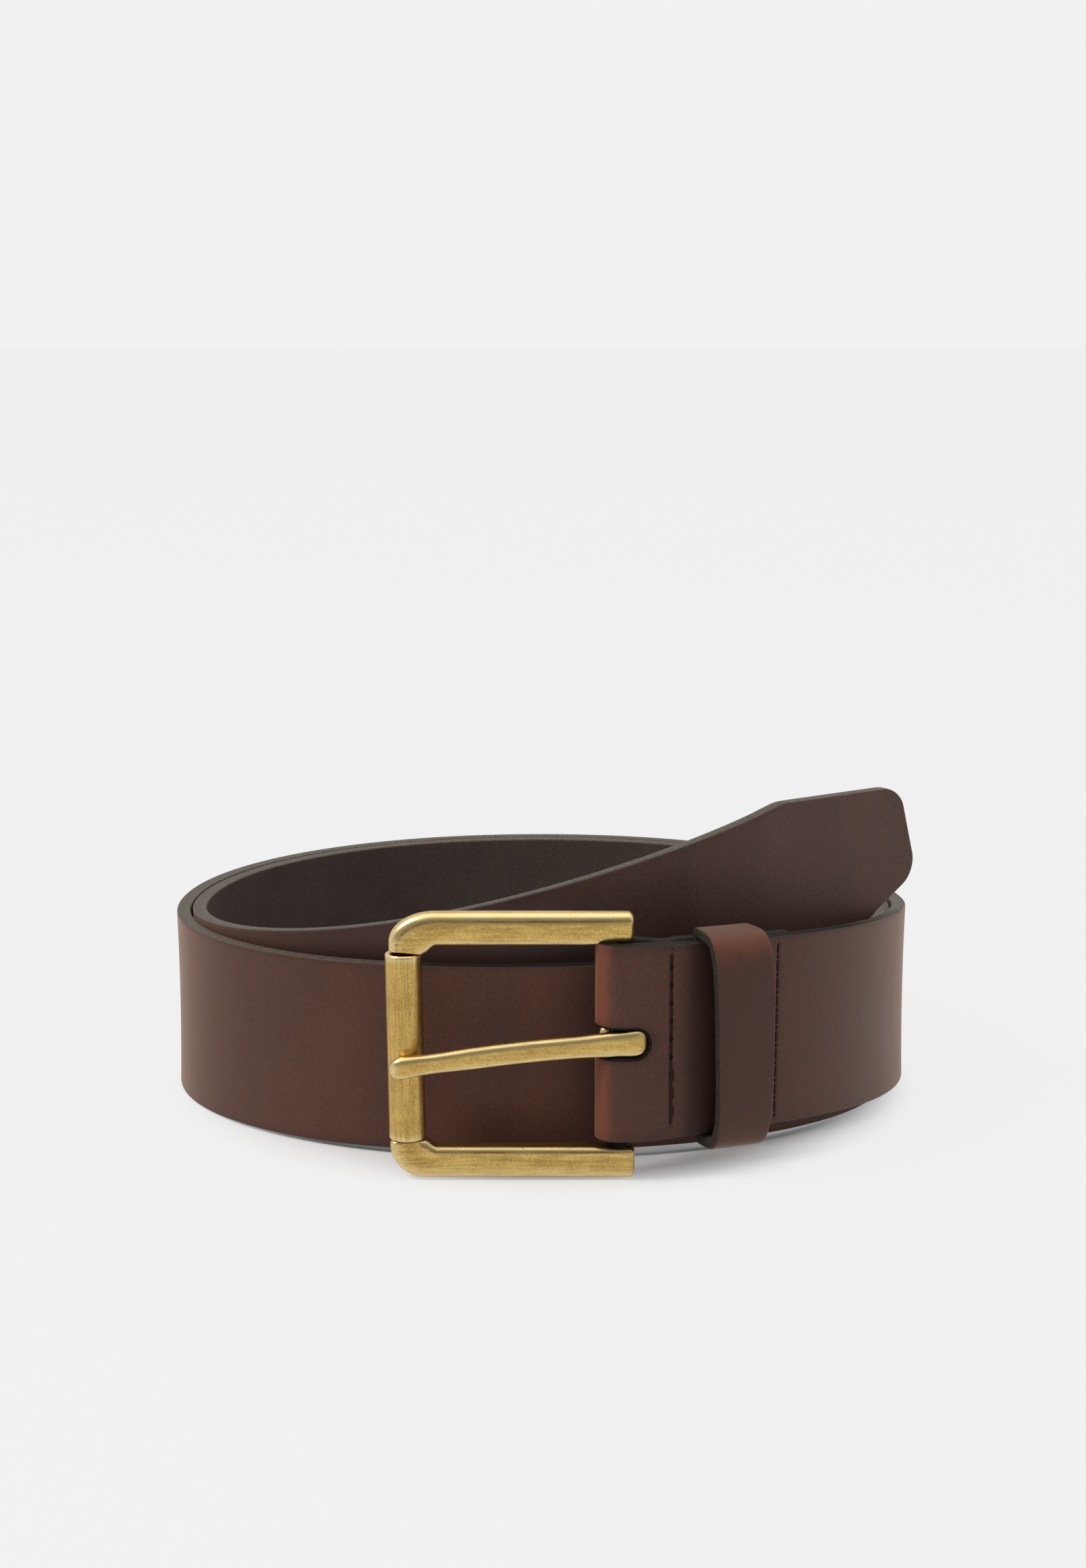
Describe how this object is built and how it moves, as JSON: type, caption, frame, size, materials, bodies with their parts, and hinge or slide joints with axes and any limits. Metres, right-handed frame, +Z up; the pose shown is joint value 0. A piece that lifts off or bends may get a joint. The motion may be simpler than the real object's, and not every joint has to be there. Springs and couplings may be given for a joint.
{
  "type": "leather belt",
  "caption": "Coiled leather belt standing on its edge, with a brass roller buckle, a swinging prong, a sliding keeper loop and a punched, tapered tip.",
  "frame": {"origin": "middle of the base of the box round the belt, on the floor it stands on", "axes": "+Z up, across the strap's width; the buckle faces -Y, with its roller towards -X"},
  "size_m": [0.166, 0.1588, 0.0709],
  "materials": {
    "strap": "semi-matte pull-up leather, dark brown",
    "thread": "matt waxed thread",
    "frame": "antique, brushed",
    "roller": "antique, brushed lengthwise",
    "prong": "antique, polished",
    "keeper": "semi-matte pull-up leather, dark brown",
    "staple": "plain wire"
  },
  "bodies": {
    "strap": {"strap": "strap", "front_thread_1": "thread", "back_thread_1": "thread", "front_thread_2": "thread", "back_thread_2": "thread"},
    "frame": {"buckle_frame": "frame"},
    "roller": {"roller": "roller"},
    "prong": {"prong": "prong"},
    "keeper": {"keeper_loop": "keeper", "keeper_staple": "staple"}
  },
  "joints": [
    {"name": "frame_swing", "type": "hinge", "parent": "strap", "child": "frame", "pos_m": [0.01588, -0.07278, 0.0279], "axis": [0, 0, 1], "range_deg": [-8, 30]},
    {"name": "prong_swing", "type": "hinge", "parent": "frame", "child": "prong", "pos_m": [0.01588, -0.07278, 0.0279], "axis": [0, 0, 1], "range_deg": [0, 65]},
    {"name": "roller_spin", "type": "hinge", "parent": "frame", "child": "roller", "pos_m": [-0.02802, -0.07278, 0.0279], "axis": [0, 0, 1], "continuous": true},
    {"name": "keeper_slide", "type": "slide", "parent": "strap", "child": "keeper", "axis": [-0.8775, -0.4778, 0.0404], "range_m": [-0.0015, 0.0015]}
  ]
}
